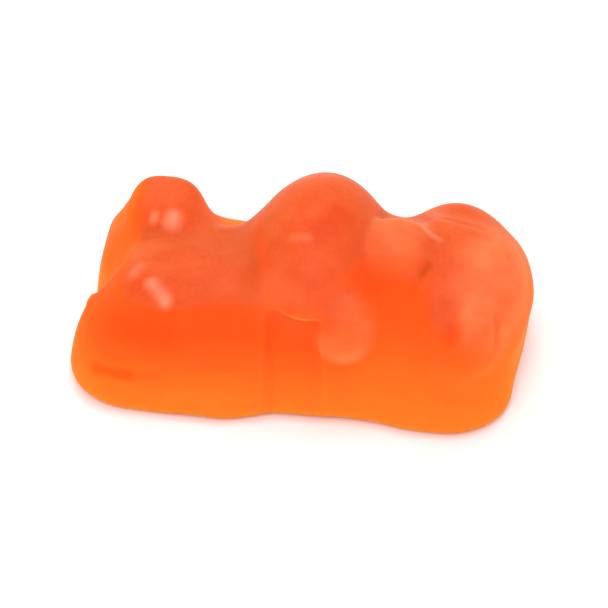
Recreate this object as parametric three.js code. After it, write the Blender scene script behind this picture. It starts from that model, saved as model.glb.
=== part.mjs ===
// A gummy bear: one soft sweet, lying on the flat back that was the open side of its starch mould.
// Millimetres. +X runs from the soles of the feet to the crown, +Y to the bear's left,
// and +Z from the flat back to the tummy. The origin is the middle of the flat back.
//
// The bear is one rounded form. Its surface is where a field of distances is zero. The field is
// the smooth union of a low slab, a lap, a tummy, a neck, a head, a muzzle and pairs of thighs,
// feet, arms and ears, less a dent in each side and the hollows of the ears and eyes.
// A ball of small triangles is then drawn in onto that surface.

import * as THREE from "three";
import { mergeVertices } from "three/addons/utils/BufferGeometryUtils.js";

// ---- driving dimensions ----

// The slab next to the flat back: three rounded blocks run together.
const HIPS = { x: -5.45, halfLength: 5.35, halfWidth: 6.35, corner: 2.6, height: 2.4 };
const WAIST = { x: 1.2, halfLength: 3.6, halfWidth: 5.35, corner: 1.6, height: 2.6 };
const CROWN = { x: 6.85, halfLength: 3.8, halfWidth: 5.8, corner: 2.8, height: 4.0 };
const BLOCK_BLEND = 1.6;
const BLOCK_SHOULDER = 2.0;
const DRAFT = 0.14; // how far a side wall leans in for each millimetre of height
const BACK_EDGE = 1.1; // the rounding where the walls meet the flat back

// Each rounded form: its middle and its reach along x, y and z.
const LAP = { at: [-3.8, -0.4, 2.4], radii: [4.2, 3.4, 3.0] };
const TUMMY = { at: [0.5, 0, 4.5], radii: [3.7, 4.4, 5.0] };
const NECK = { at: [3.8, 0, 3.2], radii: [2.2, 4.5, 3.2] };
const HEAD = { at: [6.9, 0, 3.2], radii: [3.8, 4.8, 4.6] };
const MUZZLE = { at: [4.6, 0, 7.1], radii: [1.5, 1.6, 1.5] };

// One of each pair. The other one is its mirror image across the plane y = 0.
const THIGH = { from: [-2.4, 3.0, 1.4], to: [-6.8, 2.75, 3.7], radii: [1.3, 1.8] };
const FOOT = { from: [-7.8, 3.1, 2.0], to: [-7.2, 2.75, 4.1], radii: [2.25, 2.1] };
const ARM = { from: [2.5, 4.2, 4.5], to: [2.5, 2.8, 5.7], radii: [1.15, 1.2] };
const SIDE_DENT = { at: [0, 5.7, 3.7], radii: [1.3, 1.6, 1.8] };
const EAR = { at: [8.0, 3.5, 4.9], radii: [1.5, 1.5, 1.7] };
const EAR_HOLLOW = { at: [7.9, 3.5, 7.0], radii: [0.9, 0.8, 0.9] };
const EYE_HOLLOW = { at: [6.1, 1.7, 8.1], radii: [0.7, 0.6, 0.9] };
const TURN = 0.14; // the ears and eyes lie this much further up for each millimetre to the right

// How far two neighbouring forms run into each other.
const BODY_BLEND = 1.4;
const TUMMY_BLEND = 2.4;
const LEG_BLEND = 1.5;
const ARM_BLEND = 1.0;
const FACE_BLEND = 0.8;
const DENT_BLEND = 0.7;

// ---- the field ----

const hypot = Math.hypot;

// Smooth minimum of two distances: their union, filleted over the width k.
function join(a, b, k) {
  const h = Math.max(k - Math.abs(a - b), 0) / k;
  return Math.min(a, b) - (h * h * k) / 4;
}

// Smooth maximum: what both forms hold, rounded over the width k.
function meet(a, b, k) {
  return -join(-a, -b, k);
}

// Roughly the distance to an ellipsoid.
function ellipsoid(x, y, z, { at, radii }) {
  const dx = x - at[0];
  const dy = y - at[1];
  const dz = z - at[2];
  const [rx, ry, rz] = radii;
  const near = hypot(dx / rx, dy / ry, dz / rz);
  const slope = hypot(dx / (rx * rx), dy / (ry * ry), dz / (rz * rz));
  return slope > 0 ? (near * (near - 1)) / slope : -Math.min(rx, ry, rz);
}

// The distance to a limb: a bar with round ends whose radius changes along it.
function limb(x, y, z, { from, to, radii }) {
  const bx = to[0] - from[0];
  const by = to[1] - from[1];
  const bz = to[2] - from[2];
  const px = x - from[0];
  const py = y - from[1];
  const pz = z - from[2];
  const along = (px * bx + py * by + pz * bz) / (bx * bx + by * by + bz * bz);
  const t = Math.min(Math.max(along, 0), 1);
  const radius = radii[0] + (radii[1] - radii[0]) * t;
  return hypot(px - bx * t, py - by * t, pz - bz * t) - radius;
}

// The distance to a rounded rectangle in the plane of the back.
function roundedRectangle(x, y, { x: middle, halfLength, halfWidth, corner }) {
  const qx = Math.abs(x - middle) - halfLength + corner;
  const qy = Math.abs(y) - halfWidth + corner;
  return Math.min(Math.max(qx, qy), 0) + hypot(Math.max(qx, 0), Math.max(qy, 0)) - corner;
}

// A rounded block on the flat back, with leaning walls.
function block(x, y, z, size) {
  return meet(roundedRectangle(x, y, size) + DRAFT * z, z - size.height, BLOCK_SHOULDER);
}

function slab(x, y, z) {
  const lower = join(block(x, y, z, HIPS), block(x, y, z, WAIST), BLOCK_BLEND);
  return join(lower, block(x, y, z, CROWN), BLOCK_BLEND);
}

// Negative inside the bear, zero on its surface.
function bear(x, y, z) {
  const side = Math.abs(y);
  const turned = x + TURN * y;
  let form = join(slab(x, y, z), ellipsoid(x, y, z, LAP), BODY_BLEND);
  form = join(form, ellipsoid(x, y, z, TUMMY), TUMMY_BLEND);
  form = join(form, ellipsoid(x, y, z, NECK), BODY_BLEND);
  form = join(form, ellipsoid(x, y, z, HEAD), BODY_BLEND);
  form = join(form, limb(x, side, z, THIGH), LEG_BLEND);
  form = join(form, limb(x, side, z, FOOT), LEG_BLEND);
  form = join(form, limb(x, side, z, ARM), ARM_BLEND);
  form = join(form, ellipsoid(turned, side, z, EAR), FACE_BLEND);
  form = join(form, ellipsoid(x, y, z, MUZZLE), FACE_BLEND);
  form = meet(form, -ellipsoid(x, side, z, SIDE_DENT), DENT_BLEND);
  form = meet(form, -ellipsoid(turned, side, z, EAR_HOLLOW), FACE_BLEND);
  form = meet(form, -ellipsoid(turned, side, z, EYE_HOLLOW), FACE_BLEND);
  return meet(form, -z, BACK_EDGE);
}

// ---- the mesh ----

const BALL_DETAIL = 18; // 20 * (BALL_DETAIL + 1)^2 triangles
const BALL_RADII = [12.5, 7.5, 6.5];
const BALL_HEIGHT = 4; // the ball's middle, within the bear
const MERGE = 1e-4; // corners closer than this are one corner
const ROUNDS = 90;
const LAST_ROUNDS = 6;
const LARGEST_STEP = 0.5;
const LEAST_STEEPNESS = 0.2;
const SPREAD = 0.5; // how far a corner moves to the middle of its neighbours in one round
const PROBE = 0.01;
const FLAT = 0.005; // closer to the back's plane than this lies in it

function ball() {
  const geometry = new THREE.IcosahedronGeometry(1, BALL_DETAIL);
  geometry.deleteAttribute("normal");
  geometry.deleteAttribute("uv");
  geometry.scale(...BALL_RADII);
  geometry.translate(0, 0, BALL_HEIGHT);
  return mergeVertices(geometry, MERGE);
}

function neighboursOf(geometry) {
  const sets = Array.from({ length: geometry.attributes.position.count }, () => new Set());
  const index = geometry.index.array;
  for (let i = 0; i < index.length; i += 3) {
    for (let corner = 0; corner < 3; corner += 1) {
      const from = index[i + corner];
      sets[from].add(index[i + ((corner + 1) % 3)]);
      sets[from].add(index[i + ((corner + 2) % 3)]);
    }
  }
  return sets.map((set) => [...set]);
}

// Moves a point along the field's slope, onto the surface or a step towards it.
function settle(p) {
  const { x, y, z } = p;
  const slope = new THREE.Vector3(
    bear(x + PROBE, y, z) - bear(x - PROBE, y, z),
    bear(x, y + PROBE, z) - bear(x, y - PROBE, z),
    bear(x, y, z + PROBE) - bear(x, y, z - PROBE),
  ).divideScalar(2 * PROBE);
  const steepness = Math.max(slope.length(), LEAST_STEEPNESS);
  const step = THREE.MathUtils.clamp(bear(x, y, z) / steepness, -LARGEST_STEP, LARGEST_STEP);
  return p.addScaledVector(slope, -step / steepness);
}

// Draws the ball in onto the bear. Each round evens out the triangles,
// then moves every corner towards the surface.
function drawnIn() {
  const geometry = ball();
  const position = geometry.attributes.position;
  const neighbours = neighboursOf(geometry);
  let points = neighbours.map((_, i) => new THREE.Vector3().fromBufferAttribute(position, i));
  for (let round = 0; round < ROUNDS; round += 1) {
    points = points.map((p, i) => {
      const middle = new THREE.Vector3();
      neighbours[i].forEach((n) => middle.add(points[n]));
      middle.divideScalar(neighbours[i].length);
      return settle(p.clone().lerp(middle, SPREAD));
    });
  }
  for (let round = 0; round < LAST_ROUNDS; round += 1) {
    points.forEach(settle);
  }
  points.forEach((p, i) => position.setXYZ(i, p.x, p.y, Math.abs(p.z) < FLAT ? 0 : p.z));
  geometry.computeVertexNormals();
  return geometry;
}

// ---- the sweet ----

function gummyBear() {
  const jelly = new THREE.MeshStandardMaterial({ color: "#ff6a26", roughness: 0.38, metalness: 0 });
  const mesh = new THREE.Mesh(drawnIn(), jelly);
  mesh.name = "gummy_bear";
  return mesh;
}

const sweet = new THREE.Group();
sweet.add(gummyBear());

export default sweet;
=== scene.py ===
"""A gummy bear of orange jelly, lying on its flat back on a pale studio floor.

Metres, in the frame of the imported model: +X runs from the soles of the feet to the crown,
+Y to the bear's left and +Z from the flat back to the tummy. The forms are in millimetres,
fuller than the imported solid's, and the finer ones of a cast jelly sweet are laid over them.
"""

import math

import bmesh
import bpy
import numpy as np
from bpy.props import FloatProperty, FloatVectorProperty, IntProperty, PointerProperty
from mathutils import Matrix, Vector


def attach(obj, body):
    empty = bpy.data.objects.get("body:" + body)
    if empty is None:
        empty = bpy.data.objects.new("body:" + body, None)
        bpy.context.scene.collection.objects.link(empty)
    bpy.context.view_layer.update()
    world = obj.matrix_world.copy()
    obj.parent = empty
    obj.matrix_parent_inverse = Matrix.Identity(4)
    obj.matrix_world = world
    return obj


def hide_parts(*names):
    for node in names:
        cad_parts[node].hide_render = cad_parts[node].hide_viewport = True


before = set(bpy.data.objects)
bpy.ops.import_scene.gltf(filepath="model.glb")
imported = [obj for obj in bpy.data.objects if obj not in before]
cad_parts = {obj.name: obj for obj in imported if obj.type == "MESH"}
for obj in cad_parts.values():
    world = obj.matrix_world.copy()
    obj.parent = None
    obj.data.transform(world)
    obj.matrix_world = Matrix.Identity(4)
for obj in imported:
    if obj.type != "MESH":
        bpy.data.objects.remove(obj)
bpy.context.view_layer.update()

bl_info = {
    "name": "Gummy Bear",
    "version": (1, 0, 0),
    "blender": (4, 5, 0),
    "location": "3D View > Sidebar > Gummy Bear",
    "description": "Casts a jelly bear with soft forms and lays it on a studio floor",
    "category": "Object",
}

MM = 0.001

# ---- the bear's forms, in millimetres ----

# The slab next to the flat back: three rounded blocks run together.
HIPS = {"x": -5.4, "half_length": 5.1, "half_width": 6.35, "corner": 2.9, "height": 2.8}
WAIST = {"x": 1.2, "half_length": 3.6, "half_width": 5.35, "corner": 1.6, "height": 2.6}
CROWN = {"x": 6.65, "half_length": 4.0, "half_width": 5.6, "corner": 3.2, "height": 4.0,
         "draft": 0.24}
NEAR_FLANK = {"x": -5.2, "y": -2.6, "half_length": 3.9, "half_width": 3.5, "corner": 2.0,
              "height": 5.6, "draft": 0.31, "shoulder": 1.4}
BLOCK_BLEND = 1.6
BLOCK_SHOULDER = 2.8  # the rounding where a block's walls meet its top
DRAFT = 0.15  # how far a wall leans in for each millimetre of height

# Each rounded form: its middle and its reach along x, y and z.
LAP = {"at": (-5.3, -0.8, 2.4), "radii": (3.9, 3.5, 3.1), "squareness": 2.8}
TUMMY = {"at": (0.8, 0.0, 3.2), "radii": (3.7, 5.35, 6.1)}
NECK = {"at": (3.8, 0.0, 3.2), "radii": (2.2, 4.3, 2.9)}
HEAD = {"at": (7.1, -0.12, 4.2), "radii": (3.82, 4.23, 3.58), "squareness": 2.05}
MUZZLE = {"at": (4.6, -0.45, 6.95), "radii": (1.4, 1.45, 1.25), "squareness": 2.6}
FOREHEAD = {"at": (8.4, -1.0, 5.4), "radii": (1.9, 2.1, 1.8)}

# The thigh and the pocket are one of a pair: the other one is the mirror image across the plane
# y = 0. The feet, the arms and the ears differ, so each of them has its own form.
THIGH = {"from": (-2.4, 3.0, 1.2), "to": (-6.4, 2.9, 2.7), "radii": (1.2, 1.5)}
NEAR_FOOT = {"from": (-7.6, -3.2, 2.0), "to": (-6.2, -3.0, 3.8), "radii": (2.2, 1.9)}
FAR_FOOT = {"from": (-7.85, 3.1, 2.0), "to": (-7.3, 2.85, 4.4), "radii": (2.2, 1.75)}
FOOT_SQUARENESS = 2.5
FAR_FOOT_SQUARENESS = 2.7
NEAR_HIP = {"from": (-1.4, -2.9, 4.2), "to": (-5.9, -3.2, 3.9), "radii": (1.5, 1.8)}
NEAR_ARM = {"from": (2.85, -4.2, 4.75), "to": (2.9, -3.7, 5.3), "radii": (1.05, 1.15)}
FAR_ARM = {"from": (2.3, 4.0, 3.8), "to": (2.1, 2.9, 4.8), "radii": (1.2, 1.1)}
SIDE_POCKET = {"at": (0.65, 6.15, 2.2), "half_size": (1.35, 2.0, 3.7), "corner": 0.4}
POCKET_LEAN = 0.27  # how far its inner face leans in for each millimetre of height
POCKET_TOP = 5.9  # the height where that lean is measured from
NEAR_EAR = {"at": (8.43, -3.4, 4.9), "radii": (1.4, 1.5, 1.7)}
FAR_EAR = {"at": (6.95, 3.2, 4.9), "radii": (1.7, 1.5, 1.7)}
TURN = 0.17  # the eyes and brows lie this much further up for each millimetre to the right

BACK_EDGE = 1.1  # the rounding where the walls meet the flat back

# How far two neighbouring forms run into each other.
BODY_BLEND = 1.4
TUMMY_BLEND = 2.0
NECK_BLEND = 1.5
LEG_BLEND = 1.7
ARM_BLEND = 0.6
FACE_BLEND = 0.8
EAR_BLEND = 1.2
MUZZLE_BLEND = 0.6
POCKET_BLEND = 0.35

# ---- finer forms of the cast sweet, in millimetres ----

# A mark is pressed in along a line by its depth, and fades over its width. A depth below zero
# raises it, and one of zero only gives the line a name, for a colour. The paired marks are given
# once, at the bear's left.
PAIRED_MARKS = {
    "eye": {"from": (5.8, 1.80, 7.2), "to": (5.2, 2.75, 6.8), "width": 0.42, "depth": 0.16},
    "brow": {"from": (6.6, 1.35, 7.55), "to": (5.95, 2.75, 6.9), "width": 0.5, "depth": -0.06},
}
MARKS = {
    "navel": {"from": (1.3, -1.8, 8.8), "to": (2.0, -0.6, 8.75), "width": 0.8, "depth": 0.15},
    "navel_lip": {"from": (0.1, -2.3, 8.7), "to": (0.8, -2.2, 8.7), "width": 0.40, "depth": -0.10},
    "eye_line": {"from": (5.75, -2.7, 6.65), "to": (6.4, -1.7, 7.5), "width": 0.22, "depth": 0.08},
    "cheek_dip": {"from": (7.75, -3.5, 6.4), "to": (7.95, -4.4, 5.7), "width": 0.45, "depth": 0.12},
    "ear_root": {"from": (7.65, -3.2, 6.7), "to": (7.9, -4.2, 5.8), "width": 0.62, "depth": 0.26},
    "ear_fold": {"from": (9.7, -3.0, 5.95), "to": (10.0, -4.1, 5.5), "width": 0.28, "depth": 0.20},
    "ear_line": {"from": (9.75, -3.1, 5.75), "to": (9.9, -3.8, 5.1), "width": 0.20, "depth": 0.10},
    "far_ear_line": {"from": (6.6, 1.7, 7.4), "to": (8.2, 1.4, 7.4), "width": 0.22, "depth": 0.08},
    "brow_line": {"from": (5.6, 0.3, 8.0), "to": (6.6, -0.3, 7.8), "width": 0.22, "depth": -0.08},
    "neck_glow": {"from": (4.3, -3.0, 6.0), "to": (5.5, -3.1, 6.3), "width": 0.9, "depth": 0.0},
    "near_sole": {"from": (-8.55, -5.65, 2.15), "to": (-7.1, -5.93, 2.15), "width": 0.34, "depth": 0.12},
    "near_side": {"from": (-7.1, -5.93, 2.15), "to": (-5.8, -5.95, 2.3), "width": 0.4, "depth": 0.04},
    "near_toe": {"from": (-6.25, -3.9, 6.0), "to": (-5.5, -4.5, 5.75), "width": 0.36, "depth": -0.18},
    "near_pad": {"from": (-7.2, -3.4, 6.2), "to": (-7.0, -3.0, 6.2), "width": 0.45, "depth": -0.12},
    "far_toe": {"from": (-6.4, 0.9, 5.8), "to": (-6.4, 1.1, 5.8), "width": 0.5, "depth": -0.22},
    "far_pad": {"from": (-7.3, 1.0, 5.7), "to": (-7.3, 1.2, 5.8), "width": 0.3, "depth": -0.14},
    "sole_parting": {"from": (-10.4, -1.0, 1.6), "to": (-9.4, -1.0, 4.4), "width": 1.1, "depth": 0.5},
    "casting_nub": {"from": (-9.6, -3.0, 3.8), "to": (-9.55, -2.8, 3.9), "width": 0.22, "depth": -0.12},
    "near_ankle": {"from": (-7.6, -5.3, 4.4), "to": (-5.6, -5.2, 4.4), "width": 1.0, "depth": 0.0},
}
SNOUT_DISH = {"from": (4.75, -0.6, 8.3), "to": (4.75, -0.6, 8.3), "width": 0.7, "depth": 0.16}
WAVES = ((6.5, 0.028), (3.4, 0.013), (1.7, 0.005))  # length and height of the skin's unevenness
WAVES_OF_EACH = 5
CALM_AT_BACK = 0.35  # how much of the unevenness is left next to the flat back
CALM_HEIGHT = 4.0  # the height where all of it is there
BACK_DISH = 0.22  # how far the middle of the back stands off what it lies on
BACK_REACH = (9.5, 5.2)  # how far from the middle the dish goes, along x and y
BACK_PITS = 34
PIT_WIDTHS = (0.12, 0.42)
PIT_DEPTH = 0.45  # of its width
PIT_REACH = (9.0, 4.8)  # how far from the middle of the back the pits go, along x and y
PIT_CEILING = 1.0  # above this height there are none
SEED = 11

# ---- the mesh, in millimetres ----

BALL_PIECES = 12  # each edge of a 20-sided solid is cut into so many
BALL_RADII = np.array((12.5, 7.5, 6.5))
BALL_MIDDLE = np.array((0.0, 0.0, 4.0))
MERGED_DIGITS = 5  # corners that are the same to so many digits are one corner
ROUNDS = (70, 14, 8, 5)  # of drawing in, at each halving of the triangles
SKIN_ROUNDS = 3  # of drawing in onto the skin, with its marks
LAST_ROUNDS = 2  # of the same, with the triangles left as they lie
LARGEST_STEP = 0.5
LEAST_STEEPNESS = 0.2  # of the field, where a step is reckoned
SPREAD = 0.5  # how far a corner moves to the middle of its neighbours in one round
PROBE = 0.01  # how far off the field's slope is felt
TINY = 1e-9

# ---- where the skin takes its colours, in millimetres ----

# The depth mask paints a glow: thin jelly is given the paler thin colour, standing in for light shining
# through it.
DEEPEST = 8.0  # jelly thicker than this is as dark as can be
DEPTH_STEP = 0.25
LEAST_DEPTH = 0.75
VALLEY_REACH = 1.2  # how far off the valleys between the forms are felt
CREASE_REACH = 0.5  # and the creases of the skin
# How many times each mask is run together with its neighbours'.
# The satin count softens the edge of the painted sheen on the upper side.
SOFTENING = {"depth": 24, "valley": 4, "crease": 3, "glow": 6, "pale": 6, "satin": 2}

# Lobes that take the light, where a sheen is painted: how far the painted sheen reaches round each one,
# and how strong it is.
NEAR_ARM_LIGHT = {"reach": 0.5, "share": (1.0, 0.3), "heights": (4.6, 6.2)}
FAR_ARM_LIGHT = {"reach": 0.35, "share": 1.0}
MUZZLE_LIGHT = {"reach": 0.5, "share": 0.6}
BROW_LIGHT = {"at": (9.55, -1.4, 6.3), "radii": (1.5, 2.8, 1.6), "reach": 1.7, "share": 0.72}
BELLY_LIGHT = {"at": (1.0, -3.9, 6.6), "radii": (2.2, 1.2, 1.4), "reach": 1.2, "share": 0.28}

SOLE_GLOW = ((-2.5, 1.0), (0.0, 0.36))  # how much painted glow the soles show, in the thin colour, along y
SOLE_FACING = 0.15  # how far towards -x the skin faces where that begins
SOLE_SHARPNESS = 2.0  # how fast it comes in
# Marks that shine, with a real coat and a painted glint: how far the shine reaches round each one, and
# how strong it is.
WET_GLINT_MARKS = {
    "near_toe": (0.42, 1.3),
    "near_pad": (0.5, 0.45),
    "far_toe": (0.6, 0.75),
    "far_pad": (0.3, 0.6),
    "navel_lip": (0.4, 0.4),
    "brow_line": (0.25, 0.5),
    "casting_nub": (0.3, 0.4),
}
# Marks that are darker: how far the shade reaches round each one, and how strong it is.
SHADED_MARKS = {
    "near_sole": (0.44, 1.1),
    "near_side": (0.45, 0.55),
    "navel": (0.95, 1.05),
    "eye_line": (0.25, 0.35),
    "cheek_dip": (0.7, 0.8),
    "ear_line": (0.22, 0.8),
    "far_ear_line": (0.25, 0.5),
    "near_ankle": (1.5, 0.6),
}
# Marks where the skin has less of the upper side's painted sheen, so that the jelly's own colour shows
# as a painted glow: how far that reaches, and how strongly.
GLOWING_MARKS = {"neck_glow": (1.2, 0.9)}
# The height where the painted sheen of the upper side begins, and the height over which it comes in,
# along y.
TOP_EDGE = ((-1.8, -0.8), (5.35, 3.4))
TOP_EDGE_WIDTH = ((-1.8, -0.8), (0.6, 2.0))
SOLE_EDGE = ((-9.0, -7.4), (0.0, 1.0))  # how much of it there is next to the soles, along x
VALLEY_SHARE = 0.25  # how much of it a deep valley loses
CREASE_SHARE = 0.5  # how dark the painted shade in the creases between the forms is, next to the marks
CREASED_ABOVE = 2.5  # nearer the flat back than this, creases are lit from within
# Height over which the painted glow of the lower walls fades from the thin colour to the jelly's own,
# along x.
BASE_BAND = ((1.5, 4.5), (4.8, 7.0))

# ---- the jelly's layers ----

# Each layer: the mesh's mask, the values where it begins and is full, and its strength there.
# The thick, low, upper, pale, creased and glinting layers paint glow, sheen, shade and glints into the
# colour; the coats are real.
THICK = ("depth", 0.10, 0.9)
LOW = ("base_glow", 0.0, 1.0)
TOP_SHEEN = ("top_sheen", 0.25, 0.65, 0.85)
TOP_SHEEN_PATCHES = ("top_sheen", 0.25, 0.65, 0.16)
TOP_SHEEN_GRAIN = ("top_sheen", 0.25, 0.65, 0.10)
PALE_PATCHES = ("pale", 0.0, 1.0, 0.6)
PALE = ("pale", 0.0, 1.0, 0.35)
CREASED = ("hollow", 0.2, 1.0, 0.9)
GLINTING = ("wet_glint", 0.1, 1.0, 0.9)
WET_COAT = ("wet_glint", 0.1, 0.8)
UPPER_COAT = ("top_sheen", 0.3, 0.9, 0.20)

NOISE_DETAIL = {"Patch": 2.0, "Grain": 3.0}
NOISE_SPAN = (0.3, 0.7)  # the part of the noise that is stretched out from 0 to 1
SMOOTHER, ROUGHER = 0.07, 0.08  # how far the roughness strays down and up
PATCH_SIZE = 1.6 * MM
GRAIN_SIZE = 0.22 * MM
GRAIN_HEIGHT = 0.006 * MM
JELLY_IOR = 1.33
JELLY_SPECULAR = 0.01
COAT_ROUGHNESS = 0.25
COAT_IOR = 1.35

# ---- the studio, in metres and watts ----

FLOOR_HALF_WIDTH = 0.6
PAPER_WHITE = (0.92, 0.92, 0.92, 1.0)
PAPER_ROUGHNESS = (0.75, 0.9)
PAPER_PATCH_SIZE = 20 * MM
PAPER_TOOTH_SIZE = 0.5 * MM
PAPER_TOOTH_HEIGHT = 0.004 * MM
SKY_STRENGTH = 0.7
LIGHTS_AIM = Vector((0, 0, 0.004))
# Each light: where it hangs, the width of its square, and its power.
LIGHTS = {
    "overhead_softbox": ((0.0, 0.05, 0.35), 0.25, 0.40),
    "front_softbox": ((0.02, -0.25, 0.30), 0.30, 0.66),
    "front_lamp": ((-0.02, -0.26, 0.30), 0.03, 0.12),
    "back_softbox": ((0.0, 0.25, 0.28), 0.30, 0.18),
}
LENS = 250.0  # millimetres
SENSOR_WIDTH = 36.0  # millimetres
CLIP = (0.01, 5.0)  # the nearest and the farthest that the camera sees


# ---------------------------------------------------------------------------
# The field of distances that the bear's surface is drawn from
# ---------------------------------------------------------------------------


def join(a, b, k):
    """Smooth minimum of two distances: their union, filleted over the width k."""
    h = np.maximum(k - np.abs(a - b), 0.0) / k
    return np.minimum(a, b) - h * h * k / 4


def meet(a, b, k):
    """Smooth maximum: what both forms hold, rounded over the width k."""
    return -join(-a, -b, k)


def ellipsoid(x, y, z, form):
    """Roughly the distance to an ellipsoid."""
    dx, dy, dz = x - form["at"][0], y - form["at"][1], z - form["at"][2]
    rx, ry, rz = form["radii"]
    power = form.get("squareness", 2.0)
    near = (abs(dx / rx) ** power + abs(dy / ry) ** power + abs(dz / rz) ** power) ** (1 / power)
    slope = np.sqrt((dx / rx**2) ** 2 + (dy / ry**2) ** 2 + (dz / rz**2) ** 2)
    return near * (near - 1) / np.maximum(slope, TINY)


def limb(x, y, z, form, squareness=2.0):
    """The distance to a bar with round ends, or squarer ones, whose radius changes along it."""
    start, end = np.array(form["from"]), np.array(form["to"])
    bar = end - start
    px, py, pz = x - start[0], y - start[1], z - start[2]
    t = np.clip((px * bar[0] + py * bar[1] + pz * bar[2]) / max(bar @ bar, TINY), 0.0, 1.0)
    radius = form["radii"][0] + (form["radii"][1] - form["radii"][0]) * t
    gaps = (px - bar[0] * t, py - bar[1] * t, pz - bar[2] * t)
    if squareness == 2.0:
        return np.sqrt(gaps[0] ** 2 + gaps[1] ** 2 + gaps[2] ** 2) - radius
    return sum(np.abs(gap) ** squareness for gap in gaps) ** (1 / squareness) - radius


def block(x, y, z, form):
    """A rounded block on the flat back, with leaning walls."""
    qx = np.abs(x - form["x"]) - form["half_length"] + form["corner"]
    qy = np.abs(y - form.get("y", 0.0)) - form["half_width"] + form["corner"]
    outside = np.hypot(np.maximum(qx, 0.0), np.maximum(qy, 0.0))
    wall = np.minimum(np.maximum(qx, qy), 0.0) + outside - form["corner"]
    wall = wall + form.get("draft", DRAFT) * z
    return meet(wall, z - form["height"], form.get("shoulder", BLOCK_SHOULDER))


def rounded_box(x, y, z, form):
    """The distance to a box with round edges and corners."""
    gaps = [
        np.abs(v - at) - half + form["corner"]
        for v, at, half in zip((x, y, z), form["at"], form["half_size"])
    ]
    outside = np.sqrt(sum(np.maximum(gap, 0.0) ** 2 for gap in gaps))
    inside = np.minimum(np.maximum(np.maximum(gaps[0], gaps[1]), gaps[2]), 0.0)
    return outside + inside - form["corner"]


def bear(x, y, z):
    """The bear's field: negative inside it, zero on its surface."""
    side = np.abs(y)
    form = join(block(x, y, z, HIPS), block(x, y, z, WAIST), BLOCK_BLEND)
    form = join(form, block(x, y, z, CROWN), BLOCK_BLEND)
    form = join(form, block(x, y, z, NEAR_FLANK), BODY_BLEND)
    form = join(form, ellipsoid(x, y, z, LAP), BODY_BLEND)
    form = join(form, ellipsoid(x, y, z, TUMMY), TUMMY_BLEND)
    form = join(form, ellipsoid(x, y, z, NECK), NECK_BLEND)
    form = join(form, ellipsoid(x, y, z, HEAD), NECK_BLEND)
    form = join(form, limb(x, side, z, THIGH), LEG_BLEND)
    form = join(form, limb(x, y, z, NEAR_FOOT, FOOT_SQUARENESS), LEG_BLEND)
    form = join(form, limb(x, y, z, FAR_FOOT, FAR_FOOT_SQUARENESS), BODY_BLEND)
    form = join(form, limb(x, y, z, NEAR_HIP), LEG_BLEND)
    pocket = rounded_box(x, side + POCKET_LEAN * (z - POCKET_TOP), z, SIDE_POCKET)
    form = meet(form, -pocket, POCKET_BLEND)
    form = join(form, limb(x, y, z, NEAR_ARM), ARM_BLEND)
    form = join(form, limb(x, y, z, FAR_ARM), ARM_BLEND)
    form = join(form, ellipsoid(x, y, z, NEAR_EAR), EAR_BLEND)
    form = join(form, ellipsoid(x, y, z, FAR_EAR), EAR_BLEND)
    form = join(form, ellipsoid(x, y, z, MUZZLE), MUZZLE_BLEND)
    form = join(form, ellipsoid(x, y, z, FOREHEAD), FACE_BLEND)
    return meet(form, -z, BACK_EDGE)


def pressed(x, y, z, mark):
    """How far a mark presses the surface in at each point."""
    away = limb(x, y, z, {"from": mark["from"], "to": mark["to"], "radii": (0.0, 0.0)})
    return mark["depth"] * np.exp(-((away / mark["width"]) ** 2))


class Skin:
    """The field of the cast sweet: the bear's forms with its marks, waves, dish and pits."""

    def __init__(self, evenness):
        dice = np.random.default_rng(SEED)
        self.waves = []
        for length, height in WAVES:
            for _ in range(WAVES_OF_EACH):
                way = dice.normal(size=3)
                way *= 2 * math.pi / length / np.linalg.norm(way)
                self.waves.append((way, dice.uniform(0, 2 * math.pi), height * evenness))
        self.pits = []
        for _ in range(BACK_PITS):
            x, y = dice.uniform(-PIT_REACH[0], PIT_REACH[0]), dice.uniform(-PIT_REACH[1], PIT_REACH[1])
            at = (x, y, self.dish(0, 0))
            width = dice.uniform(*PIT_WIDTHS)
            self.pits.append({"from": at, "to": at, "width": width, "depth": width * PIT_DEPTH})

    def dish(self, x, y):
        """Height of the back above what the sweet lies on."""
        return BACK_DISH * np.maximum(
            1 - (x / BACK_REACH[0]) ** 2 - (y / BACK_REACH[1]) ** 2, 0.0
        )

    def __call__(self, x, y, z):
        side = np.abs(y)
        turned = x + TURN * y
        form = bear(x, y, z)
        free = CALM_AT_BACK + (1 - CALM_AT_BACK) * np.clip(z / CALM_HEIGHT, 0.0, 1.0)
        for way, phase, height in self.waves:
            wave = np.sin(way[0] * x + way[1] * y + way[2] * z + phase)
            form = form + height * free * wave
        for mark in PAIRED_MARKS.values():
            form = form + pressed(turned, side, z, mark)
        for mark in (*MARKS.values(), SNOUT_DISH):
            form = form + pressed(x, y, z, mark)
        form = np.maximum(form, self.dish(x, y) - z)
        low = z < PIT_CEILING
        if low.any():
            for pit in self.pits:
                form[low] += pressed(x[low], y[low], z[low], pit)
        return form


# ---------------------------------------------------------------------------
# A ball of triangles, drawn in onto the field's surface
# ---------------------------------------------------------------------------


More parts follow.
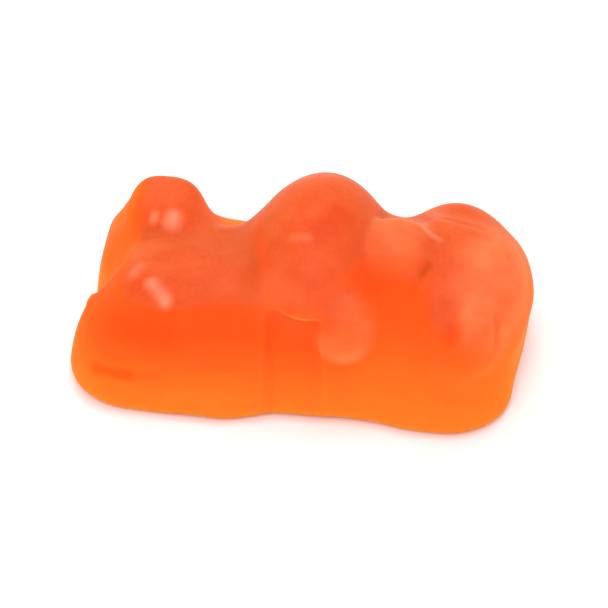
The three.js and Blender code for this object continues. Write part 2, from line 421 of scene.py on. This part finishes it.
def ball(pieces):
    """Corners and triangles of a ball, made from a 20-sided solid with its edges cut up."""
    mesh = bmesh.new()
    bmesh.ops.create_icosphere(mesh, subdivisions=1, radius=1.0)
    corners = np.array([v.co[:] for v in mesh.verts])
    faces = [[v.index for v in f.verts] for f in mesh.faces]
    mesh.free()
    grid = [(i, j) for i in range(pieces + 1) for j in range(pieces + 1 - i)]
    place = {ij: n for n, ij in enumerate(grid)}
    cells = []
    for i, j in grid:
        if i + j < pieces:
            cells.append((place[i, j], place[i + 1, j], place[i, j + 1]))
        if i + j < pieces - 1:
            cells.append((place[i + 1, j], place[i + 1, j + 1], place[i, j + 1]))
    share = np.array([(pieces - i - j, i, j) for i, j in grid]) / pieces
    points = np.concatenate([share @ corners[face] for face in faces])
    triangles = np.concatenate([np.array(cells) + n * len(grid) for n in range(len(faces))])
    _, first, merged = np.unique(
        points.round(MERGED_DIGITS), axis=0, return_index=True, return_inverse=True
    )
    points = points[first]
    points /= np.linalg.norm(points, axis=1)[:, None]
    return points, merged.reshape(-1)[triangles]


def halved(points, triangles):
    """Cuts each triangle into four at the middles of its edges."""
    edges = np.sort(triangles[:, [0, 1, 1, 2, 2, 0]].reshape(-1, 2), axis=1)
    unique, back = np.unique(edges, axis=0, return_inverse=True)
    middles = back.reshape(-1, 3) + len(points)
    a, b, c = triangles.T
    ab, bc, ca = middles.T
    parts = [(a, ab, ca), (ab, b, bc), (ca, bc, c), (ab, bc, ca)]
    cut = np.concatenate([np.stack(part, axis=1) for part in parts])
    return np.concatenate([points, points[unique].mean(axis=1)]), cut


def evened(values, triangles):
    """The mean of each corner's neighbours."""
    count = np.bincount(triangles.ravel(), minlength=len(values)) * 2.0
    total = np.zeros((len(values), values.shape[1]))
    for near in (1, 2):
        others = np.roll(triangles, near, axis=1).ravel()
        for k in range(values.shape[1]):
            total[:, k] += np.bincount(
                triangles.ravel(), weights=values[others, k], minlength=len(values)
            )
    return total / count[:, None]


def slope_of(field, points):
    """The field's rate of change along x, y and z at each point."""
    rates = []
    for axis in range(3):
        ahead, behind = points.copy(), points.copy()
        ahead[:, axis] += PROBE
        behind[:, axis] -= PROBE
        rates.append((field(*ahead.T) - field(*behind.T)) / (2 * PROBE))
    return np.stack(rates, axis=1)


def settled(field, points):
    """Each point moved along the field's slope, onto the surface or a step towards it."""
    slope = slope_of(field, points)
    steepness = np.maximum(np.linalg.norm(slope, axis=1), LEAST_STEEPNESS)
    step = np.clip(field(*points.T) / steepness, -LARGEST_STEP, LARGEST_STEP)
    return points - slope * (step / steepness)[:, None]


def drawn_in(field, skin, halvings):
    """Corners and triangles of the field's surface, and then of the skin's."""
    points, triangles = ball(BALL_PIECES)
    points = points * BALL_RADII + BALL_MIDDLE
    for level in range(halvings + 1):
        if level:
            points, triangles = halved(points, triangles)
        for _ in range(ROUNDS[level]):
            spread = points + (evened(points, triangles) - points) * SPREAD
            points = settled(field, spread)
    for _ in range(SKIN_ROUNDS):
        spread = points + (evened(points, triangles) - points) * SPREAD
        points = settled(skin, spread)
    for _ in range(LAST_ROUNDS):
        points = settled(skin, points)
    return points, triangles


def inner_depth(field, points, outward):
    """How far each point is from the far side of the jelly, straight in, up to DEEPEST."""
    depth = np.full(len(points), DEEPEST)
    inside = np.ones(len(points), bool)
    for far in np.arange(LEAST_DEPTH, DEEPEST, DEPTH_STEP):
        out = inside & (field(*(points - outward * far).T) > 0)
        depth[out] = far
        inside &= ~out
    return depth


def hollowness(field, points, outward, reach):
    """From 0 on an open or swelling place to 1 deep in a crease, felt over the given reach."""
    return np.clip(1.0 - field(*(points + outward * reach).T) / reach, 0.0, 1.0)


def paleness(x, y, z):
    """From 0 to 1 where a lobe that takes the light stands out of the body, for a painted sheen."""
    lobes = (
        (limb(x, y, z, NEAR_ARM), NEAR_ARM_LIGHT),
        (limb(x, y, z, FAR_ARM), FAR_ARM_LIGHT),
        (ellipsoid(x, y, z, MUZZLE), MUZZLE_LIGHT),
        (ellipsoid(x, y, z, BROW_LIGHT), BROW_LIGHT),
        (ellipsoid(x, y, z, BELLY_LIGHT), BELLY_LIGHT),
    )
    pale = np.zeros(len(x))
    for away, light in lobes:
        share = light["share"]
        if "heights" in light:
            share = np.interp(z, light["heights"], share)
        pale = np.maximum(pale, share * np.clip(1.0 - away / light["reach"], 0.0, 1.0))
    return pale


def softened(values, triangles, mask):
    """Values at the corners, run together with their neighbours' as often as the mask asks."""
    values = values[:, None]
    for _ in range(SOFTENING[mask]):
        values = (values + evened(values, triangles)) / 2
    return values[:, 0]


def marked(points, marks):
    """For each of some marks, how strongly it is felt at each point."""
    for name, (reach, strength) in marks.items():
        yield pressed(*points.T, {**MARKS[name], "width": reach, "depth": strength})


def skin_masks(skin, points, triangles):
    """Where the skin takes each of its colours, as a value at each corner: painted glow by thickness and
    on the lower walls, painted sheen and glints, and painted shade in the hollows.
    """
    height = points[:, 2]
    outward = slope_of(skin, points)
    outward /= np.linalg.norm(outward, axis=1)[:, None]
    depth = softened(inner_depth(bear, points, outward), triangles, "depth") / DEEPEST
    valley = softened(hollowness(bear, points, outward, VALLEY_REACH), triangles, "valley")
    crease = softened(hollowness(skin, points, outward, CREASE_REACH), triangles, "crease")
    hollow = np.maximum(valley, crease) * np.clip(height / CREASED_ABOVE, 0.0, 1.0)

    # Painted glow: the lower walls and the soles that face -x take the thin colour, standing in for
    # light coming through the jelly.
    base_glow = np.clip(1.0 - height / np.interp(points[:, 0], *BASE_BAND), 0.0, 1.0)
    facing = np.clip((-outward[:, 0] - SOLE_FACING) * SOLE_SHARPNESS, 0.0, 1.0)
    glow = np.interp(points[:, 1], *SOLE_GLOW) * facing * (points[:, 0] < HIPS["x"])
    base_glow = np.maximum(base_glow, softened(glow, triangles, "glow"))
    # Painted sheen on the lobes, and painted glints on the shining marks.
    pale = softened(paleness(*points.T), triangles, "pale")
    wet_glint = np.maximum.reduce(list(marked(points, WET_GLINT_MARKS)))

    # Painted sheen: skin that faces up, above the top edge, takes the upper colour, standing in for the
    # light's soft reflection.
    rise = height - np.interp(points[:, 1], *TOP_EDGE)
    rise = np.clip(rise / np.interp(points[:, 1], *TOP_EDGE_WIDTH), 0.0, 1.0)
    top_sheen = np.clip(outward[:, 2], 0.0, 1.0) * softened(rise, triangles, "satin")
    top_sheen *= np.interp(points[:, 0], *SOLE_EDGE) * (1.0 - VALLEY_SHARE * hollow)
    for share in marked(points, GLOWING_MARKS):
        top_sheen *= 1.0 - share
    # Painted shade: valleys, creases and the shaded marks are darkened.
    hollow = np.maximum.reduce([hollow * CREASE_SHARE, *marked(points, SHADED_MARKS)])
    return {
        "depth": depth, "hollow": hollow, "base_glow": base_glow, "pale": pale, "wet_glint": wet_glint, "top_sheen": top_sheen
    }


# ---------------------------------------------------------------------------
# Settings
# ---------------------------------------------------------------------------


class GummyBearShape(bpy.types.PropertyGroup):
    """Sizes of the sweet's finer forms."""

    halvings: IntProperty(
        name="Mesh Halvings",
        description="How many times the triangles are halved; each one makes four times as many",
        default=3,
        min=0,
        max=3,
    )
    unevenness: FloatProperty(
        name="Unevenness",
        description="How uneven the cast skin is, as a share of an ordinary sweet's",
        default=1.0,
        min=0.0,
        max=3.0,
        subtype="FACTOR",
    )


class GummyBearFinish(bpy.types.PropertyGroup):
    """Colours and finish of the jelly."""

    body_color: FloatVectorProperty(
        name="Body Colour",
        description="Colour of the jelly where it is thick",
        default=(0.92, 0.090, 0.010),
        size=3,
        min=0.0,
        max=1.0,
        subtype="COLOR",
    )
    # Painted glow: this paler colour stands in for light shining through thin jelly and through the
    # lower walls.
    thin_glow_color: FloatVectorProperty(
        name="Thin Colour",
        description="Colour of the jelly where it is thin",
        default=(0.98, 0.190, 0.018),
        size=3,
        min=0.0,
        max=1.0,
        subtype="COLOR",
    )
    # Painted shade in the creases and on the shaded marks.
    crease_shade: FloatVectorProperty(
        name="Crease Tint",
        description="How much of each colour is left deep in the creases",
        default=(0.96, 0.71, 0.53),
        size=3,
        min=0.0,
        max=1.0,
        subtype="COLOR",
    )
    # Painted sheen of the upper side.
    top_sheen_color: FloatVectorProperty(
        name="Upper Colour",
        description="Colour of the skin where it faces up",
        default=(0.555, 0.067, 0.010),
        size=3,
        min=0.0,
        max=1.0,
        subtype="COLOR",
    )
    # Painted sheen on the paws, the muzzle, the brow and in patches on the upper side.
    sheen_color: FloatVectorProperty(
        name="Bloom Colour",
        description="Paler colour of the skin on the paws, the muzzle and the brow",
        default=(1.0, 0.22, 0.080),
        size=3,
        min=0.0,
        max=1.0,
        subtype="COLOR",
    )
    # Painted glint on the toes and the other shining marks.
    glint_color: FloatVectorProperty(
        name="Glint Colour",
        description="Palest colour of the skin, on the tips of the toes",
        default=(1.0, 0.27, 0.15),
        size=3,
        min=0.0,
        max=1.0,
        subtype="COLOR",
    )
    light_reach: FloatVectorProperty(
        name="Light Reach",
        description="How far red, green and blue light travel in the jelly",
        default=(2.5 * MM, 0.9 * MM, 0.4 * MM),
        size=3,
        min=0.0,
        subtype="XYZ",
        unit="LENGTH",
    )
    roughness: FloatProperty(
        name="Roughness",
        description="Roughness of the satin surface",
        default=0.42,
        min=0.0,
        max=1.0,
        subtype="FACTOR",
    )


class GummyBearStudio(bpy.types.PropertyGroup):
    """The floor, the lights and the camera."""

    azimuth: FloatProperty(
        name="Azimuth",
        description="Turn of the camera round the sweet",
        default=math.radians(12.5),
        subtype="ANGLE",
        unit="ROTATION",
    )
    elevation: FloatProperty(
        name="Elevation",
        description="Height of the camera above the horizon",
        default=math.radians(43.0),
        subtype="ANGLE",
        unit="ROTATION",
    )
    roll: FloatProperty(
        name="Roll",
        description="Lean of the camera about its own line of sight",
        default=math.radians(-1.5),
        subtype="ANGLE",
        unit="ROTATION",
    )
    framed_above: FloatProperty(
        name="Framed Above",
        description="How far the middle of the picture lies above the middle of the flat back",
        default=1.76 * MM,
        unit="LENGTH",
    )
    framed_width: FloatProperty(
        name="Framed Width",
        description="Width of what the camera shows at the sweet's middle",
        default=29.0 * MM,
        min=0.001,
        unit="LENGTH",
    )


# ---------------------------------------------------------------------------
# Operators
# ---------------------------------------------------------------------------


def unevenness_group():
    """Soft patches and fine grain, for any material: values from 0 to 1, and a roughness."""
    group = bpy.data.node_groups.new("Soft Unevenness", "ShaderNodeTree")
    sockets = (
        ("Patch Scale", "INPUT", 400.0),
        ("Grain Scale", "INPUT", 2500.0),
        ("Smoothest", "INPUT", 0.3),
        ("Roughest", "INPUT", 0.6),
        ("Patches", "OUTPUT", None),
        ("Grain", "OUTPUT", None),
        ("Roughness", "OUTPUT", None),
    )
    for name, way, value in sockets:
        socket = group.interface.new_socket(name=name, in_out=way, socket_type="NodeSocketFloat")
        if value is not None:
            socket.default_value = value
    nodes, links = group.nodes, group.links
    given, made = nodes.new("NodeGroupInput"), nodes.new("NodeGroupOutput")
    place = nodes.new("ShaderNodeTexCoord")
    for name, detail in NOISE_DETAIL.items():
        noise = nodes.new("ShaderNodeTexNoise")
        noise.inputs["Detail"].default_value = detail
        links.new(place.outputs["Object"], noise.inputs["Vector"])
        links.new(given.outputs[f"{name} Scale"], noise.inputs["Scale"])
        spread = nodes.new("ShaderNodeMapRange")
        spread.inputs["From Min"].default_value = NOISE_SPAN[0]
        spread.inputs["From Max"].default_value = NOISE_SPAN[1]
        links.new(noise.outputs["Fac"], spread.inputs["Value"])
        links.new(spread.outputs["Result"], made.inputs["Patches" if name == "Patch" else name])
        if name == "Patch":
            rough = nodes.new("ShaderNodeMapRange")
            links.new(spread.outputs["Result"], rough.inputs["Value"])
            links.new(given.outputs["Smoothest"], rough.inputs["To Min"])
            links.new(given.outputs["Roughest"], rough.inputs["To Max"])
            links.new(rough.outputs["Result"], made.inputs["Roughness"])
    return group


def uneven(nodes, group, patch_size, grain_size, roughness):
    """The unevenness group placed in a material, with sizes in metres and a span of roughness."""
    node = nodes.new("ShaderNodeGroup")
    node.node_tree = group
    node.inputs["Patch Scale"].default_value = 1 / patch_size
    node.inputs["Grain Scale"].default_value = 1 / grain_size
    node.inputs["Smoothest"].default_value = roughness[0]
    node.inputs["Roughest"].default_value = roughness[1]
    return node


def bumped(nodes, links, shader, height, distance):
    """Raises a shader's surface by a height of 0 to 1 times a distance in metres."""
    bump = nodes.new("ShaderNodeBump")
    bump.inputs["Distance"].default_value = distance
    links.new(height, bump.inputs["Height"])
    links.new(bump.outputs["Normal"], shader.inputs["Normal"])


def paper_material(group):
    """White paper with a faint tooth."""
    material = bpy.data.materials.new("White Paper")
    material.use_nodes = True
    nodes, links = material.node_tree.nodes, material.node_tree.links
    paper = nodes["Principled BSDF"]
    paper.inputs["Base Color"].default_value = PAPER_WHITE
    sheet = uneven(nodes, group, PAPER_PATCH_SIZE, PAPER_TOOTH_SIZE, PAPER_ROUGHNESS)
    bumped(nodes, links, paper, sheet.outputs["Grain"], PAPER_TOOTH_HEIGHT)
    links.new(sheet.outputs["Roughness"], paper.inputs["Roughness"])
    return material


def jelly_material(finish, group):
    """Cloudy orange jelly with a satin skin, its colour carrying a painted glow, painted sheen, painted
    glints and painted crease shade.
    """
    material = bpy.data.materials.new("Orange Jelly")
    material.use_nodes = True
    nodes, links = material.node_tree.nodes, material.node_tree.links
    jelly = nodes["Principled BSDF"]
    jelly.subsurface_method = "RANDOM_WALK"
    span = (finish.roughness - SMOOTHER, finish.roughness + ROUGHER)
    skin = uneven(nodes, group, PATCH_SIZE, GRAIN_SIZE, span)
    bumped(nodes, links, jelly, skin.outputs["Grain"], GRAIN_HEIGHT)
    links.new(skin.outputs["Roughness"], jelly.inputs["Roughness"])

    def mask(name, low, high, strength=1.0):
        """How far a mask of the mesh has come from low to high, times the strength."""
        attribute = nodes.new("ShaderNodeAttribute")
        attribute.attribute_name = name
        part = nodes.new("ShaderNodeMapRange")
        part.interpolation_type = "SMOOTHSTEP"
        part.inputs["From Min"].default_value = low
        part.inputs["From Max"].default_value = high
        part.inputs["To Max"].default_value = strength
        links.new(attribute.outputs["Fac"], part.inputs["Value"])
        return part.outputs["Result"]

    def reckoned(operation, a, b):
        """Two values put together."""
        node = nodes.new("ShaderNodeMath")
        node.operation = operation
        links.new(a, node.inputs[0])
        links.new(b, node.inputs[1])
        return node.outputs["Value"]

    def mixed(factor, color, below=None, blend="MIX"):
        """A colour laid by a factor over another, or over the thin colour."""
        node = nodes.new("ShaderNodeMix")
        node.data_type = "RGBA"
        node.blend_type = blend
        links.new(factor, node.inputs["Factor"])
        if below is None:
            node.inputs["A"].default_value = (*finish.thin_glow_color, 1.0)
        else:
            links.new(below, node.inputs["A"])
        node.inputs["B"].default_value = (*color, 1.0)
        return node.outputs["Result"]

    patches, grain = skin.outputs["Patches"], skin.outputs["Grain"]
    # Painted glow where the jelly is thin and on the lower walls, under the thick jelly's own colour.
    color = mixed(mask(*THICK), finish.body_color)
    color = mixed(mask(*LOW), finish.thin_glow_color, color)
    # Painted sheen on the upper side, with patches and grain of it, then painted sheen on the lobes.
    color = mixed(mask(*TOP_SHEEN), finish.top_sheen_color, color)
    for layer, noise in ((TOP_SHEEN_PATCHES, patches), (TOP_SHEEN_GRAIN, grain), (PALE_PATCHES, patches)):
        color = mixed(reckoned("MULTIPLY", mask(*layer), noise), finish.sheen_color, color)
    color = mixed(mask(*PALE), finish.sheen_color, color)
    # Painted shade in the creases and on the shaded marks.
    color = mixed(mask(*CREASED), finish.crease_shade, color, "MULTIPLY")
    # Painted glints on the toes and the other shining marks.
    color = mixed(mask(*GLINTING), finish.glint_color, color)
    links.new(color, jelly.inputs["Base Color"])
    jelly.inputs["Subsurface Weight"].default_value = 1.0
    jelly.inputs["Subsurface Radius"].default_value = tuple(finish.light_reach)
    jelly.inputs["Subsurface Scale"].default_value = 1.0
    jelly.inputs["IOR"].default_value = JELLY_IOR
    jelly.inputs["Specular IOR Level"].default_value = JELLY_SPECULAR
    links.new(reckoned("MAXIMUM", mask(*WET_COAT), mask(*UPPER_COAT)), jelly.inputs["Coat Weight"])
    jelly.inputs["Coat Roughness"].default_value = COAT_ROUGHNESS
    jelly.inputs["Coat IOR"].default_value = COAT_IOR
    return material


class OBJECT_OT_gummy_bear(bpy.types.Operator):
    """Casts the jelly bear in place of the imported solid"""

    bl_idname = "object.gummy_bear"
    bl_label = "Gummy Bear"
    bl_options = {"REGISTER", "UNDO"}

    def execute(self, context):
        shape = context.scene.gummy_bear_shape
        finish = context.scene.gummy_bear_finish
        skin = Skin(shape.unevenness)
        points, triangles = drawn_in(bear, skin, shape.halvings)
        if not np.isfinite(points).all():
            raise RuntimeError("the bear's surface could not be drawn in")
        mesh = bpy.data.meshes.new("gummy_bear_jelly")
        mesh.from_pydata((points * MM).tolist(), [], triangles.tolist())
        mesh.shade_smooth()
        for name, values in skin_masks(skin, points, triangles).items():
            mesh.attributes.new(name, "FLOAT", "POINT").data.foreach_set("value", values)
        mesh.materials.append(jelly_material(finish, unevenness_group()))
        piece = bpy.data.objects.new("gummy_bear_jelly", mesh)
        context.scene.collection.objects.link(piece)
        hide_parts("gummy_bear")
        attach(piece, "root")
        return {"FINISHED"}


class OBJECT_OT_gummy_bear_studio(bpy.types.Operator):
    """Makes the pale floor, the soft lights and the camera"""

    bl_idname = "object.gummy_bear_studio"
    bl_label = "Gummy Bear Studio"
    bl_options = {"REGISTER", "UNDO"}

    def execute(self, context):
        scene = context.scene
        studio = scene.gummy_bear_studio
        floor_mesh = bpy.data.meshes.new("studio_floor")
        half = FLOOR_HALF_WIDTH
        corners = [(-half, -half, 0), (half, -half, 0), (half, half, 0), (-half, half, 0)]
        floor_mesh.from_pydata(corners, [], [(0, 1, 2, 3)])
        floor_mesh.materials.append(paper_material(bpy.data.node_groups["Soft Unevenness"]))
        floor = bpy.data.objects.new("studio_floor", floor_mesh)
        scene.collection.objects.link(floor)

        world = bpy.data.worlds.new("Studio White")
        world.use_nodes = True
        background = world.node_tree.nodes["Background"]
        background.inputs["Color"].default_value = (1, 1, 1, 1)
        background.inputs["Strength"].default_value = SKY_STRENGTH
        scene.world = world

        for name, (at, size, watts) in LIGHTS.items():
            lamp = bpy.data.lights.new(name, "AREA")
            lamp.shape = "SQUARE"
            lamp.size = size
            lamp.energy = watts
            holder = bpy.data.objects.new(name, lamp)
            holder.location = at
            holder.rotation_mode = "QUATERNION"
            holder.rotation_quaternion = (LIGHTS_AIM - Vector(at)).to_track_quat("-Z", "Y")
            scene.collection.objects.link(holder)

        camera = bpy.data.cameras.new("studio_camera")
        camera.lens = LENS
        camera.sensor_width = SENSOR_WIDTH
        camera.clip_start, camera.clip_end = CLIP
        holder = bpy.data.objects.new("studio_camera", camera)
        scene.collection.objects.link(holder)
        scene.camera = holder
        away = studio.framed_width * camera.lens / camera.sensor_width
        turn = Matrix.Rotation(studio.azimuth, 4, "Z")
        tilt = Matrix.Rotation(math.pi / 2 - studio.elevation, 4, "X")
        aim = turn @ tilt @ Matrix.Rotation(studio.roll, 4, "Z")
        holder.matrix_world = aim @ Matrix.Translation((0.0, studio.framed_above, away))
        scene.view_settings.view_transform = "Standard"
        scene.view_settings.look = "None"
        return {"FINISHED"}


class VIEW3D_PT_gummy_bear(bpy.types.Panel):
    """Lists the sweet and its studio"""

    bl_label = "Gummy Bear"
    bl_space_type = "VIEW_3D"
    bl_region_type = "UI"
    bl_category = "Gummy Bear"

    def draw(self, context):
        for name, operator in (
            ("gummy_bear_shape", None),
            ("gummy_bear_finish", OBJECT_OT_gummy_bear),
            ("gummy_bear_studio", OBJECT_OT_gummy_bear_studio),
        ):
            settings = getattr(context.scene, name)
            for key in settings.bl_rna.properties.keys():
                if key not in {"rna_type", "name"}:
                    self.layout.prop(settings, key)
            if operator:
                self.layout.operator(operator.bl_idname)


CLASSES = (
    GummyBearShape,
    GummyBearFinish,
    GummyBearStudio,
    OBJECT_OT_gummy_bear,
    OBJECT_OT_gummy_bear_studio,
    VIEW3D_PT_gummy_bear,
)


def register():
    for cls in CLASSES:
        bpy.utils.register_class(cls)
    bpy.types.Scene.gummy_bear_shape = PointerProperty(type=GummyBearShape)
    bpy.types.Scene.gummy_bear_finish = PointerProperty(type=GummyBearFinish)
    bpy.types.Scene.gummy_bear_studio = PointerProperty(type=GummyBearStudio)


def unregister():
    del bpy.types.Scene.gummy_bear_studio
    del bpy.types.Scene.gummy_bear_finish
    del bpy.types.Scene.gummy_bear_shape
    for cls in reversed(CLASSES):
        bpy.utils.unregister_class(cls)


def main():
    """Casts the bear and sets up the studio."""
    register()
    bpy.ops.object.gummy_bear()
    bpy.ops.object.gummy_bear_studio()


if __name__ == "__main__":
    main()
